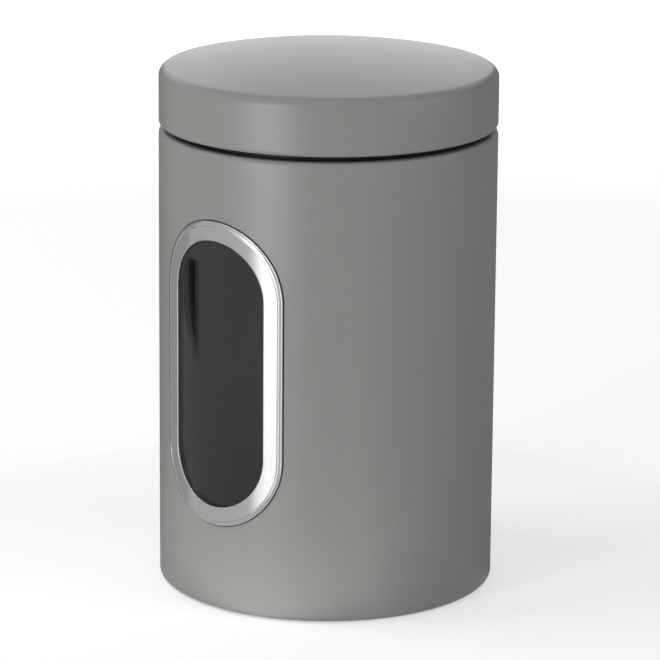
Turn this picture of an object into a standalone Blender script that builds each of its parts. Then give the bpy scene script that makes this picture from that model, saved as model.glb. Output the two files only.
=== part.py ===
"""Airtight food container: a round painted steel canister with a capsule window and a lift-off sealed lid.

All sizes are in metres. +Z is up, the canister stands on z = 0 and its axis is the Z axis.
The window faces -Y. Each piece is one object, and the lid's pieces hang from the empty "lid".
"""

import math

import bmesh
import bpy

# Clearances
GAP = 0.0003            # between any two neighbouring pieces
PLUG_PLAY = 0.0008      # round the lid's plug, so that it drops freely into the mouth

# Body shell, of painted steel sheet
BODY_RADIUS = 0.0590
SHELL_HEIGHT = 0.1614   # from the turned-in lower edge to the top of the shoulder
WALL = 0.0006
SHOULDER_ROUND = 0.0017
LEDGE = 0.0016          # flat part of the shoulder, past its rounding
BOTTOM_ROUND = 0.0021
TURN_IN = 0.0009        # flat part of the lower edge, past its rounding

# Base pan and foot ring
BASE_SHEET = 0.0005
BASE_RISE = 0.0035      # how far the panel is pressed up above its rim
BASE_DRAFT = 0.0012     # how far the pressed wall leans
BASE_BEAD = 0.0008      # depth and lean of the stiffening step in the panel
BASE_BEAD_INSET = 0.0191    # from the panel's edge in to that step
FOOT_WIDTH = 0.0042
FOOT_STAND = 0.0005     # how far the foot stands below the shell's lower edge
FOOT_CHAMFER = 0.0003
FOOT_MARGIN = 0.0004    # flat rim of the pan left inside the foot

# Mouth ring, snapped into the shoulder
RING_FLANGE = 0.0012    # thickness of the flange on the ledge
RING_SETBACK = 0.0010   # from the shoulder's rounding in to the flange's edge
RING_WALL = 0.0012
RING_LEAD_IN = 0.0005
RING_BELOW_SEAL = 0.0055
BEAD_OUT = 0.0007       # snap bead below the ledge
BEAD_HEIGHT = 0.0020
BEAD_FLAT = 0.0004

# Window: a capsule, measured flat along the wall
MARGIN_BELOW = 0.0307   # from the shell's lower edge to the frame
MARGIN_ABOVE = 0.0233   # from the frame to the top of the shoulder
OPENING_WIDTH = 0.0392
FRAME_BAND = 0.0068
FRAME_SHEET = 0.0005
FACE_GAP = 0.0005       # behind the frame's face
FACE_CROWN = 0.0001     # further height of the face at its crease
FACE_ROUND = 0.0002     # rounding of the face's inner edge
COLLAR_DROP = 0.0001    # how far that edge, turned in, reaches below the face's back
BEVEL_WIDTH = 0.0015    # sloping strip outside the crease
RIM_HEIGHT = 0.0003     # upright outer edge below that strip
FRAME_LAP = 0.0029      # how far the face reaches in over the edge of the hole
TAB_LENGTH = 0.0050
TAB_HOLD = 0.0015       # how far each folded tab reaches behind the wall
TABS_PER_SIDE = 3
SEAL_BAND = 0.0025      # window seal
SEAL_THICKNESS = 0.0009
PANE_THICKNESS = 0.0018
PANE_FLANGE = 0.0012
PANE_MARGIN = 0.0004    # pane flange left outside the seal

# Lid
LID_SIDE = 0.0195       # from the lower edge to where side and dome would meet
LID_DOME = 0.0068       # height of the dome above that
LID_CORNER = 0.0034
HEM_ROUND = 0.0013
HEM_FLAT = 0.0011
INSERT_EDGE = 0.0010    # straight outer edge of the insert's flange
INSERT_FLOOR = 0.0020
INSERT_WALL = 0.0018    # behind the seal groove
LAND_ABOVE = 0.0053     # plug above the seal groove
LAND_BELOW = 0.0040     # plug below it
PLUG_CHAMFER = 0.0010
GROOVE_DEPTH = 0.0022
LID_SEAL_HEIGHT = 0.0040
LIP_REACH = 0.0010      # how far the lips stand out from the seal's band
LIP_TIP = 0.0003


def bend(radius, thickness):
    """The outer radius of a bend, which a sheet can't make much tighter than its own thickness."""
    return max(radius, thickness + GAP)


SHOULDER_BEND = bend(SHOULDER_ROUND, WALL)
BOTTOM_BEND = bend(BOTTOM_ROUND, WALL)
HEM_BEND = bend(HEM_ROUND, WALL + GAP)
LID_BEND = bend(LID_CORNER, WALL)

# Heights above the floor
SHELL_BOTTOM = FOOT_STAND
SHOULDER_TOP = SHELL_BOTTOM + SHELL_HEIGHT
PAN_BOTTOM = SHELL_BOTTOM + WALL + GAP
RING_BOTTOM = SHOULDER_TOP + GAP
RING_TOP = RING_BOTTOM + RING_FLANGE
LID_SEAT = RING_TOP + GAP
FRAME_HEIGHT = SHELL_HEIGHT - MARGIN_BELOW - MARGIN_ABOVE
WINDOW_CENTRE = SHELL_BOTTOM + MARGIN_BELOW + FRAME_HEIGHT / 2

# Heights above the lid's lower edge
GROOVE_TOP = -LAND_ABOVE
GROOVE_BOTTOM = GROOVE_TOP - LID_SEAL_HEIGHT - 2 * GAP
PLUG_BOTTOM = GROOVE_BOTTOM - LAND_BELOW

# Radii that fit one piece to another
LEDGE_RADIUS = BODY_RADIUS - SHOULDER_BEND - LEDGE
RING_RADIUS = LEDGE_RADIUS - GAP
BORE_RADIUS = RING_RADIUS - RING_WALL
PLUG_RADIUS = BORE_RADIUS - PLUG_PLAY
GROOVE_RADIUS = PLUG_RADIUS - GROOVE_DEPTH
LID_RADIUS = BODY_RADIUS
HEM_RADIUS = LID_RADIUS - HEM_BEND - HEM_FLAT
FOOT_OUTER = BODY_RADIUS - BOTTOM_BEND - TURN_IN - GAP
FOOT_INNER = FOOT_OUTER - FOOT_WIDTH

# Half widths of the window's pieces, measured flat along the wall
OPENING_HALF = OPENING_WIDTH / 2
FRAME_HALF = OPENING_HALF + FRAME_BAND
STRAIGHT = FRAME_HEIGHT - 2 * FRAME_HALF        # straight run of the capsule's sides
HOLE_HALF = OPENING_HALF + FRAME_LAP
TAB_HALF = HOLE_HALF - GAP                      # outer side of the tabs, where they pass the hole
BOSS_HALF = TAB_HALF - FRAME_SHEET - GAP        # raised middle of the pane, inside the tabs
TAB_REACH = HOLE_HALF + TAB_HOLD
SEAL_HALF = TAB_REACH + GAP                     # inner edge of the window seal
PANE_HALF = SEAL_HALF + SEAL_BAND + PANE_MARGIN

# Depths of the window's pieces, measured out from the wall's outer face
FACE_FRONT = FACE_GAP + FRAME_SHEET
COLLAR_END = FACE_GAP - COLLAR_DROP
PANE_FRONT = COLLAR_END - GAP
BEHIND_WALL = -WALL - GAP
FLANGE_FRONT = BEHIND_WALL - SEAL_THICKNESS - GAP
CUT_PAST = 3 * WALL     # how far the window's cutter runs past both faces

# Facets
ROUND_STEPS = 72        # round the shells that show
INNER_STEPS = 48        # round the pieces inside
CAPSULE_STEPS = 20      # round each end of the window
BEND_STEPS = 4          # in each of the large bends
SMALL_STEPS = 3         # in each of the small ones
DOME_STEPS = 6
SOFT_EDGE = math.radians(35)

# Colours, as linear values
GREY_COAT = (0.270, 0.268, 0.255)
STAINLESS = (0.78, 0.78, 0.77)
BARE_STEEL = (0.50, 0.50, 0.50)
CLEAR = (0.90, 0.92, 0.92)
BLACK = (0.012, 0.012, 0.012)
SMOKE = (0.30, 0.30, 0.30)


def clear_scene():
    for old in list(bpy.data.objects):
        bpy.data.objects.remove(old, do_unlink=True)


def material(name, colour, roughness, metallic=0.0, transmission=0.0):
    made = bpy.data.materials.new(name)
    made.use_nodes = True
    shader = made.node_tree.nodes["Principled BSDF"]
    shader.inputs["Base Color"].default_value = (*colour, 1.0)
    shader.inputs["Roughness"].default_value = roughness
    shader.inputs["Metallic"].default_value = metallic
    shader.inputs["Transmission Weight"].default_value = transmission
    return made


def group(name, height=0.0):
    """An empty that carries a body's pieces."""
    empty = bpy.data.objects.new(name, None)
    empty.location.z = height
    bpy.context.scene.collection.objects.link(empty)
    return empty


def piece(name, bm, parent, finish=None, height=0.0):
    """The object made from a finished bmesh, at a height above its parent."""
    bmesh.ops.recalc_face_normals(bm, faces=bm.faces[:])
    mesh = bpy.data.meshes.new(name)
    bm.to_mesh(mesh)
    bm.free()
    mesh.shade_smooth()
    mesh.set_sharp_from_angle(angle=SOFT_EDGE)
    if finish:
        mesh.materials.append(finish)
    made = bpy.data.objects.new(name, mesh)
    made.parent = parent
    made.location.z = height
    bpy.context.scene.collection.objects.link(made)
    return made


def helper(made):
    """Marks an object as a cutter or an added shape, which isn't a piece by itself."""
    made.hide_render = True
    made.display_type = "WIRE"
    return made


def boolean(target, other, operation):
    modifier = target.modifiers.new(other.name, "BOOLEAN")
    modifier.operation = operation
    modifier.solver = "EXACT"
    modifier.object = other


def arc(centre, radius, start, end, steps):
    """Points on a circle in a section, from one angle to another, in degrees."""
    points = []
    for step in range(steps + 1):
        angle = math.radians(start + (end - start) * step / steps)
        points.append((centre[0] + radius * math.cos(angle), centre[1] + radius * math.sin(angle)))
    return points


def moved_left(path, distance):
    """The path moved to its left by a distance, with mitred corners."""
    normals = []
    for (x0, y0), (x1, y1) in zip(path, path[1:]):
        length = math.hypot(x1 - x0, y1 - y0)
        normals.append(((y0 - y1) / length, (x1 - x0) / length))
    moved = []
    for i, (x, y) in enumerate(path):
        before = normals[max(i - 1, 0)]
        after = normals[min(i, len(normals) - 1)]
        share = distance / (1 + before[0] * after[0] + before[1] * after[1])
        moved.append((x + share * (before[0] + after[0]), y + share * (before[1] + after[1])))
    return moved


def sheet(path, thickness):
    """The closed section of a sheet whose one face follows the path, with its thickness to the left."""
    inner = [(0.0 if old[0] == 0.0 else x, y) for (x, y), old in zip(moved_left(path, thickness), path)]
    return path + inner[::-1]


def turned(section, steps):
    """A bmesh of a closed section in (radius, height), turned about Z. Edges on the axis are left out."""
    bm = bmesh.new()
    points = [bm.verts.new((radius, 0.0, height)) for radius, height in section]
    edges = []
    for a, b in zip(points, points[1:] + points[:1]):
        if a.co.x > 0.0 or b.co.x > 0.0:
            edges.append(bm.edges.new((a, b)))
    bmesh.ops.spin(
        bm,
        geom=points + edges,
        cent=(0, 0, 0),
        axis=(0, 0, 1),
        angle=math.tau,
        steps=steps,
        use_merge=True,
    )
    bmesh.ops.remove_doubles(bm, verts=bm.verts[:], dist=1e-7)
    return bm


def bent(across, up, out):
    """A point given flat on the wall, as across, up and out from its outer face, bent round the canister."""
    turn = across / BODY_RADIUS
    radius = BODY_RADIUS + out
    return (radius * math.sin(turn), -radius * math.cos(turn), up)


def capsule_stations():
    """Round the capsule, as (height of the round end's centre, direction across, direction up)."""
    stations = []
    for end, first in ((STRAIGHT / 2, 0.0), (-STRAIGHT / 2, math.pi)):
        for step in range(CAPSULE_STEPS + 1):
            angle = first + math.pi * step / CAPSULE_STEPS
            stations.append((end, math.cos(angle), math.sin(angle)))
    return stations


def swept_rows(bm, section, stations):
    """A row of points at each station, from a section in (distance from the capsule's middle, out)."""
    rows = []
    for centre, across, up in stations:
        rows.append([bm.verts.new(bent(far * across, centre + far * up, out)) for far, out in section])
    return rows


def bridge(bm, here, there, closed):
    """Faces between two rows of points."""
    last = len(here) if closed else len(here) - 1
    for i in range(last):
        j = (i + 1) % len(here)
        bm.faces.new((here[i], here[j], there[j], there[i]))


def bent_ring(section):
    """A bmesh of a closed section swept round the window's capsule."""
    bm = bmesh.new()
    rows = swept_rows(bm, section, capsule_stations())
    for here, there in zip(rows, rows[1:] + rows[:1]):
        bridge(bm, here, there, closed=True)
    return bm


def bent_plate(section):
    """A bmesh of an open section swept round the capsule, with both its ends closed by a curved panel."""
    bm = bmesh.new()
    rows = swept_rows(bm, section, capsule_stations())
    for here, there in zip(rows, rows[1:] + rows[:1]):
        bridge(bm, here, there, closed=False)
    half = len(rows) // 2
    for column in (0, -1):
        top = [row[column] for row in rows[:half]]
        bottom = [row[column] for row in rows[half:]][::-1]
        bridge(bm, top, bottom, closed=False)
    return bm


def make_body_shell(parent, finish):
    outer = arc((BODY_RADIUS - BOTTOM_BEND, SHELL_BOTTOM + BOTTOM_BEND), BOTTOM_BEND, -90, 0, SMALL_STEPS)
    shoulder = (BODY_RADIUS - SHOULDER_BEND, SHOULDER_TOP - SHOULDER_BEND)
    outer += arc(shoulder, SHOULDER_BEND, 0, 90, BEND_STEPS)
    lower_edge = (BODY_RADIUS - BOTTOM_BEND - TURN_IN, SHELL_BOTTOM)
    path = [lower_edge] + outer + [(LEDGE_RADIUS, SHOULDER_TOP)]
    shell = piece("body_shell", turned(sheet(path, WALL), ROUND_STEPS), parent, finish)
    hole = bent_plate([(HOLE_HALF, CUT_PAST), (HOLE_HALF, -WALL - CUT_PAST)])
    cutter = helper(piece("window_hole", hole, parent, height=WINDOW_CENTRE))
    boolean(shell, cutter, "DIFFERENCE")


def make_base_pan(parent, finish):
    panel = PAN_BOTTOM + BASE_RISE
    rim = FOOT_INNER - FOOT_MARGIN
    step = rim - BASE_DRAFT - BASE_BEAD_INSET
    path = [
        (0.0, panel - BASE_BEAD),
        (step - BASE_BEAD, panel - BASE_BEAD),
        (step, panel),
        (rim - BASE_DRAFT, panel),
        (rim, PAN_BOTTOM),
        (BODY_RADIUS - BOTTOM_BEND, PAN_BOTTOM),
    ]
    piece("base_pan", turned(sheet(path, BASE_SHEET), INNER_STEPS), parent, finish)


def make_foot_ring(parent, finish):
    top = PAN_BOTTOM - GAP
    section = [
        (FOOT_INNER + FOOT_CHAMFER, 0.0),
        (FOOT_OUTER - FOOT_CHAMFER, 0.0),
        (FOOT_OUTER, FOOT_CHAMFER),
        (FOOT_OUTER, top),
        (FOOT_INNER, top),
        (FOOT_INNER, FOOT_CHAMFER),
    ]
    piece("foot_ring", turned(section, INNER_STEPS), parent, finish)


def make_mouth_ring(parent, finish):
    edge = BODY_RADIUS - SHOULDER_BEND - RING_SETBACK
    bead_top = SHOULDER_TOP - WALL - GAP
    skirt_bottom = LID_SEAT + GROOVE_BOTTOM + GAP - RING_BELOW_SEAL
    section = [
        (BORE_RADIUS, skirt_bottom),
        (RING_RADIUS, skirt_bottom),
        (RING_RADIUS, bead_top - BEAD_HEIGHT),
        (RING_RADIUS + BEAD_OUT, bead_top - BEAD_FLAT),
        (RING_RADIUS + BEAD_OUT, bead_top),
        (RING_RADIUS, bead_top),
        (RING_RADIUS, RING_BOTTOM),
        (edge, RING_BOTTOM),
        (edge, RING_TOP),
        (BORE_RADIUS + RING_LEAD_IN, RING_TOP),
        (BORE_RADIUS, RING_TOP - RING_LEAD_IN),
    ]
    piece("mouth_ring", turned(section, INNER_STEPS), parent, finish)


def tab_stations(angle, centre):
    """Stations along one tab: level with the centre on a straight side, or round an end of the capsule."""
    half = TAB_LENGTH / 2
    if math.cos(angle) ** 2 > 0.5:
        return [(centre + end, math.cos(angle), 0.0) for end in (-half, half)]
    turns = [angle + share * half / TAB_HALF for share in (-1, 0, 1)]
    return [(centre, math.cos(turn), math.sin(turn)) for turn in turns]


def make_frame_tabs(parent):
    """The eight tabs that pass through the hole and are folded out behind the wall."""
    root = FACE_FRONT - FRAME_SHEET / 2
    inner = TAB_HALF - FRAME_SHEET
    section = [
        (inner, root),
        (inner, BEHIND_WALL - FRAME_SHEET),
        (TAB_REACH, BEHIND_WALL - FRAME_SHEET),
        (TAB_REACH, BEHIND_WALL),
        (TAB_HALF, BEHIND_WALL),
        (TAB_HALF, root),
    ]
    places = [(math.pi / 2, STRAIGHT / 2), (-math.pi / 2, -STRAIGHT / 2)]
    for level in range(TABS_PER_SIDE):
        centre = ((level + 0.5) / TABS_PER_SIDE - 0.5) * STRAIGHT
        places += [(0.0, centre), (math.pi, centre)]
    bm = bmesh.new()
    for angle, centre in places:
        rows = swept_rows(bm, section, tab_stations(angle, centre))
        for here, there in zip(rows, rows[1:]):
            bridge(bm, here, there, closed=True)
        bm.faces.new(rows[0])
        bm.faces.new(rows[-1])
    return helper(piece("frame_tabs", bm, parent, height=WINDOW_CENTRE))


def make_window_frame(parent, finish):
    crease = FRAME_HALF - BEVEL_WIDTH
    section = [
        (FRAME_HALF, GAP),
        (FRAME_HALF, GAP + RIM_HEIGHT),
        (crease, FACE_FRONT + FACE_CROWN),
        (OPENING_HALF + FACE_ROUND, FACE_FRONT),
        (OPENING_HALF, FACE_FRONT - FACE_ROUND),
        (OPENING_HALF, COLLAR_END),
        (OPENING_HALF + FRAME_SHEET, COLLAR_END),
        (OPENING_HALF + FRAME_SHEET, FACE_GAP),
        (crease, FACE_GAP + FACE_CROWN),
        (FRAME_HALF - FRAME_SHEET, GAP),
    ]
    frame = piece("window_frame", bent_ring(section), parent, finish, WINDOW_CENTRE)
    boolean(frame, make_frame_tabs(parent), "UNION")


def make_window_seal(parent, finish):
    section = [
        (SEAL_HALF, BEHIND_WALL),
        (SEAL_HALF, BEHIND_WALL - SEAL_THICKNESS),
        (SEAL_HALF + SEAL_BAND, BEHIND_WALL - SEAL_THICKNESS),
        (SEAL_HALF + SEAL_BAND, BEHIND_WALL),
    ]
    piece("window_seal", bent_ring(section), parent, finish, WINDOW_CENTRE)


def make_window_pane(parent, finish):
    """A shallow clear dish: its raised middle fills the frame, and its flange is bonded behind the wall."""
    back = FLANGE_FRONT - PANE_FLANGE
    hollow = BOSS_HALF - PANE_THICKNESS
    section = [
        (BOSS_HALF, PANE_FRONT),
        (BOSS_HALF, FLANGE_FRONT),
        (PANE_HALF, FLANGE_FRONT),
        (PANE_HALF, back),
        (hollow, back),
        (hollow, PANE_FRONT - PANE_THICKNESS),
    ]
    piece("window_pane", bent_plate(section), parent, finish, WINDOW_CENTRE)


def make_lid_shell(parent, finish):
    sphere = (LID_RADIUS**2 + LID_DOME**2) / (2 * LID_DOME)
    sphere_centre = (0.0, LID_SIDE + LID_DOME - sphere)
    corner = LID_RADIUS - LID_BEND
    rise = math.sqrt((sphere - LID_BEND) ** 2 - corner**2)
    lean = math.degrees(math.atan2(rise, corner))
    path = [(HEM_RADIUS, 0.0)]
    path += arc((LID_RADIUS - HEM_BEND, HEM_BEND), HEM_BEND, -90, 0, BEND_STEPS)
    path += arc((corner, sphere_centre[1] + rise), LID_BEND, 0, lean, BEND_STEPS)
    path += arc(sphere_centre, sphere, lean, 90, DOME_STEPS)[1:-1]
    path += [(0.0, LID_SIDE + LID_DOME)]
    piece("lid_shell", turned(sheet(path, WALL), ROUND_STEPS), parent, finish)


def make_lid_insert(parent, finish):
    """The moulded plug. The lid's hem traps its flange, and its shoulder stands on the mouth ring."""
    flange_round = HEM_BEND - WALL - GAP
    flange_radius = LID_RADIUS - WALL - GAP
    flange_bottom = WALL + GAP
    flange_top = flange_bottom + flange_round + INSERT_EDGE
    hollow = GROOVE_RADIUS - INSERT_WALL
    section = [
        (0.0, PLUG_BOTTOM),
        (PLUG_RADIUS - PLUG_CHAMFER, PLUG_BOTTOM),
        (PLUG_RADIUS, PLUG_BOTTOM + PLUG_CHAMFER),
        (PLUG_RADIUS, GROOVE_BOTTOM),
        (GROOVE_RADIUS, GROOVE_BOTTOM),
        (GROOVE_RADIUS, GROOVE_TOP),
        (PLUG_RADIUS, GROOVE_TOP),
        (PLUG_RADIUS, 0.0),
        (HEM_RADIUS - GAP, 0.0),
        (HEM_RADIUS - GAP, flange_bottom),
    ]
    corner = (flange_radius - flange_round, flange_bottom + flange_round)
    section += arc(corner, flange_round, -90, 0, SMALL_STEPS)
    section += [
        (flange_radius, flange_top),
        (hollow, flange_top),
        (hollow, PLUG_BOTTOM + INSERT_FLOOR),
        (0.0, PLUG_BOTTOM + INSERT_FLOOR),
    ]
    piece("lid_insert", turned(section, INNER_STEPS), parent, finish)


def make_lid_seal(parent, finish):
    """A band in the groove with two lips. They stop a gap short of the mouth ring's bore."""
    tip = BORE_RADIUS - GAP
    band = tip - LIP_REACH
    bottom = GROOVE_BOTTOM + GAP
    quarter = LID_SEAL_HEIGHT / 4
    section = [(GROOVE_RADIUS + GAP, bottom), (band, bottom)]
    for lip in (bottom + quarter, bottom + 3 * quarter):
        section += [(tip, lip - LIP_TIP / 2), (tip, lip + LIP_TIP / 2), (band, lip + quarter)]
    section += [(GROOVE_RADIUS + GAP, bottom + LID_SEAL_HEIGHT)]
    piece("lid_seal", turned(section, INNER_STEPS), parent, finish)


def main():
    clear_scene()
    coat = material("grey_coat", GREY_COAT, roughness=0.45)
    bright = material("stainless", STAINLESS, roughness=0.20, metallic=1.0)
    bare = material("bare_steel", BARE_STEEL, roughness=0.40, metallic=1.0)
    clear = material("clear_plastic", CLEAR, roughness=0.05, transmission=1.0)
    black = material("black_plastic", BLACK, roughness=0.35)
    silicone = material("silicone", SMOKE, roughness=0.55)
    rubber = material("foot_rubber", BLACK, roughness=0.80)

    canister = group("canister")
    make_body_shell(canister, coat)
    make_base_pan(canister, bare)
    make_foot_ring(canister, rubber)
    make_mouth_ring(canister, black)
    make_window_frame(canister, bright)
    make_window_seal(canister, silicone)
    make_window_pane(canister, clear)

    lid = group("lid", LID_SEAT)
    make_lid_shell(lid, coat)
    make_lid_insert(lid, black)
    make_lid_seal(lid, silicone)


main()
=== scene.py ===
# %% [markdown]
# # A painted food canister with a window
# This lesson dresses a finished CAD part for its picture: a round steel canister with a window in a
# stainless frame and a domed lid with a sealed plug.
# The CAD part is exact but faceted, so each of its ten pieces is modelled again here with finer
# facets, rounded edges and a real finish. All lengths are in metres, as the CAD part's are.

# %% Load the part
import math

import bmesh
import bpy
from mathutils import Matrix, Vector


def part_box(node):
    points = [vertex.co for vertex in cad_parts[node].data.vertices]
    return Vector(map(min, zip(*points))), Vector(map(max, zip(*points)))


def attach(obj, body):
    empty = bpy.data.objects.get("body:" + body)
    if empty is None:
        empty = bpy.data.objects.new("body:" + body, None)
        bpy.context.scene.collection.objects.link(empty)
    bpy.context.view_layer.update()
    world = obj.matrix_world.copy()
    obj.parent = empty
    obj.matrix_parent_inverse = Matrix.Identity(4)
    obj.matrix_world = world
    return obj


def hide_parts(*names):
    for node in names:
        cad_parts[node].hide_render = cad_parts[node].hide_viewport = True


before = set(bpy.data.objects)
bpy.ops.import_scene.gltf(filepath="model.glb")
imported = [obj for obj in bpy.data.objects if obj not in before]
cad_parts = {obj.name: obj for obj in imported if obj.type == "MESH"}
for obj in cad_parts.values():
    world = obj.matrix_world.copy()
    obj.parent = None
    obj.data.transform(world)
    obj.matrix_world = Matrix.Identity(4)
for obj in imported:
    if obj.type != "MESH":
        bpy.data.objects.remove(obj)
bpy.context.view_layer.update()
bpy.ops.object.select_all(action="DESELECT")
print("CAD nodes:", sorted(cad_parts))

# %% [markdown]
# ## Sizes
# What can be read from the CAD nodes is read from them, so that the two can't drift apart.
# The rest, such as the thickness of a sheet or the radius of a bend, is named here once.

# %% Sizes
GAP = 0.0003  # between neighbouring pieces

BODY_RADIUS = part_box("body_shell")[1].x
WALL_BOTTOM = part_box("body_shell")[0].z
WALL_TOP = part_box("body_shell")[1].z
LID_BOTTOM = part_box("lid_shell")[0].z
LID_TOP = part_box("lid_shell")[1].z
WALL = 0.0006  # thickness of the painted sheet
OPENING_HALF = 0.0196  # half the width of the opening in the window's frame

TURN_STEPS = 192  # facets round a turned piece
TINY = 2e-6  # how near counts as the same place
SMOOTH_ANGLE = math.radians(32)  # facets that meet more sharply keep their edge
print(f"wall {BODY_RADIUS * 2000:.1f} mm across, {(WALL_TOP - WALL_BOTTOM) * 1000:.1f} mm high")

# %% [markdown]
# ## Opening a piece and picking its parts
# Operators work on what is selected, as a hand does in edit mode. A script has no mouse, so it picks
# vertices, edges and faces by where they lie or which way they face.

# %% Helpers for edit mode


def begin(name):
    """Names the primitive just added, writes its place into its mesh and opens it in edit mode."""
    piece = bpy.context.object
    piece.name = name
    piece.data.name = name
    bpy.ops.object.transform_apply(location=True, rotation=True, scale=True)
    bpy.ops.object.mode_set(mode="EDIT")
    return piece


def pick(piece, kind, wanted):
    """Selects the vertices, edges or faces that pass a test, and nothing else."""
    bpy.ops.mesh.select_mode(type=kind)
    bpy.ops.mesh.select_all(action="DESELECT")
    mesh = bmesh.from_edit_mesh(piece.data)
    for part in {"VERT": mesh.verts, "EDGE": mesh.edges, "FACE": mesh.faces}[kind]:
        if wanted(part):
            part.select_set(True)
    mesh.select_flush_mode()
    bmesh.update_edit_mesh(piece.data)


def extrude(rise):
    """Extrudes what is selected straight up or down."""
    bpy.ops.mesh.extrude_region_move(TRANSFORM_OT_translate={"value": (0, 0, rise)})


def apply_modifier(piece, kind, **settings):
    """Adds a modifier with its settings and applies it."""
    modifier = piece.modifiers.new(kind.lower(), kind)
    for name, value in settings.items():
        setattr(modifier, name, value)
    bpy.ops.object.modifier_apply(modifier=modifier.name)


def dress_extra(piece, body, slot, *finishes):
    """Smooths a piece, gives it its finish and lets it ride on its body."""
    bpy.ops.object.shade_smooth_by_angle(angle=SMOOTH_ANGLE)
    apply_modifier(piece, "WEIGHTED_NORMAL", keep_sharp=True)
    for finish in finishes:
        piece.data.materials.append(finish)
    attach(piece, body)
    piece.select_set(False)
    print(f"{piece.name}: {len(piece.data.polygons)} faces")


def finish_piece(piece, node, body, slot, *finishes):
    """Dresses a piece and lets it stand for its CAD node."""
    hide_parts(node)
    dress_extra(piece, body, slot, *finishes)


# %% [markdown]
# ## Turned pieces
# Nearly everything here is round: tins are spun or drawn, plugs and seals are moulded in turned
# moulds. The Spin tool could sweep a drawn section, but extruding ring after ring from a circle keeps
# every corner of the section easy to find again for its rounding.

# %% Helpers for turned pieces


def on_ring(edge, spot):
    """True for an edge of the ring at a (radius, height)."""
    return all(
        abs(math.hypot(end.co.x, end.co.y) - spot[0]) < TINY and abs(end.co.z - spot[1]) < TINY
        for end in edge.verts
    )


def turn(name, section):
    """Draws a surface of revolution through (radius, height) points and leaves it open."""
    radius, height = section[0]
    bpy.ops.mesh.primitive_circle_add(vertices=TURN_STEPS, radius=radius, location=(0, 0, height))
    piece = begin(name)
    bpy.ops.mesh.select_all(action="SELECT")
    for next_radius, next_height in section[1:]:
        extrude(next_height - height)
        if next_radius == 0.0:
            bpy.ops.mesh.merge(type="CENTER")
        else:
            scale = next_radius / radius
            bpy.ops.transform.resize(value=(scale, scale, 1), center_override=(0, 0, 0))
        radius, height = next_radius, next_height
    return piece


def round_corner(piece, section, index, radius, segments):
    """Bevels the ring at one corner of the section into an arc of a given radius."""
    here = Vector(section[index])
    before = here - Vector(section[index - 1])
    after = Vector(section[(index + 1) % len(section)]) - here
    pick(piece, "EDGE", lambda edge: on_ring(edge, here))
    offset = radius * math.tan(before.angle(after) / 2)
    bpy.ops.mesh.bevel(offset=offset, segments=segments, affect="EDGES", clamp_overlap=False)


def close_ring(piece, section):
    """Joins the last ring of a section to its first, which makes a solid ring."""
    pick(piece, "EDGE", lambda edge: on_ring(edge, section[0]) or on_ring(edge, section[-1]))
    bpy.ops.mesh.bridge_edge_loops()


def close_discs(piece, section):
    """Fills the first and the last ring, each with one flat face."""
    for spot in (section[0], section[-1]):
        pick(piece, "EDGE", lambda edge: on_ring(edge, spot))
        bpy.ops.mesh.edge_face_add()


def face_out(piece):
    """Turns all faces outwards and leaves edit mode."""
    bpy.ops.mesh.select_all(action="SELECT")
    bpy.ops.mesh.normals_make_consistent(inside=False)
    bpy.ops.object.mode_set(mode="OBJECT")


# %% [markdown]
# ## Shader groups shared by several finishes
# A real surface is never one flat value. Two effects come back in several materials, so each is a
# node group that is built once: a fine grain and straight brushing. A group only puts out colours,
# roughness and heights. The shader stays in each material.

# %% Helpers for node groups
FLOAT = "NodeSocketFloat"
COLOUR = "NodeSocketColor"


def new_group(name, inputs, outputs):
    """An empty shader group with named inputs and outputs for numbers and colours."""
    group = bpy.data.node_groups.new(name, "ShaderNodeTree")
    for label, value in inputs.items():
        kind = COLOUR if isinstance(value, tuple) else FLOAT
        group.interface.new_socket(label, in_out="INPUT", socket_type=kind).default_value = value
    for label, kind in outputs.items():
        group.interface.new_socket(label, in_out="OUTPUT", socket_type=kind)
    return group, group.nodes.new("NodeGroupInput"), group.nodes.new("NodeGroupOutput")


def add(tree, kind, links=None, **settings):
    """A node with its settings, and its inputs linked to sockets or set to values."""
    node = tree.nodes.new(kind)
    for name, value in settings.items():
        setattr(node, name, value)
    for label, source in (links or {}).items():
        if isinstance(source, bpy.types.NodeSocket):
            tree.links.new(source, node.inputs[label])
        else:
            node.inputs[label].default_value = source
    return node


def work_out(tree, operation, *values):
    """The output of one sum over sockets and numbers."""
    return add(tree, "ShaderNodeMath", dict(enumerate(values)), operation=operation).outputs[0]


# %% Grain
BROAD_SCALE = 38.0  # of the slow changes that lie under the grain


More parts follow.
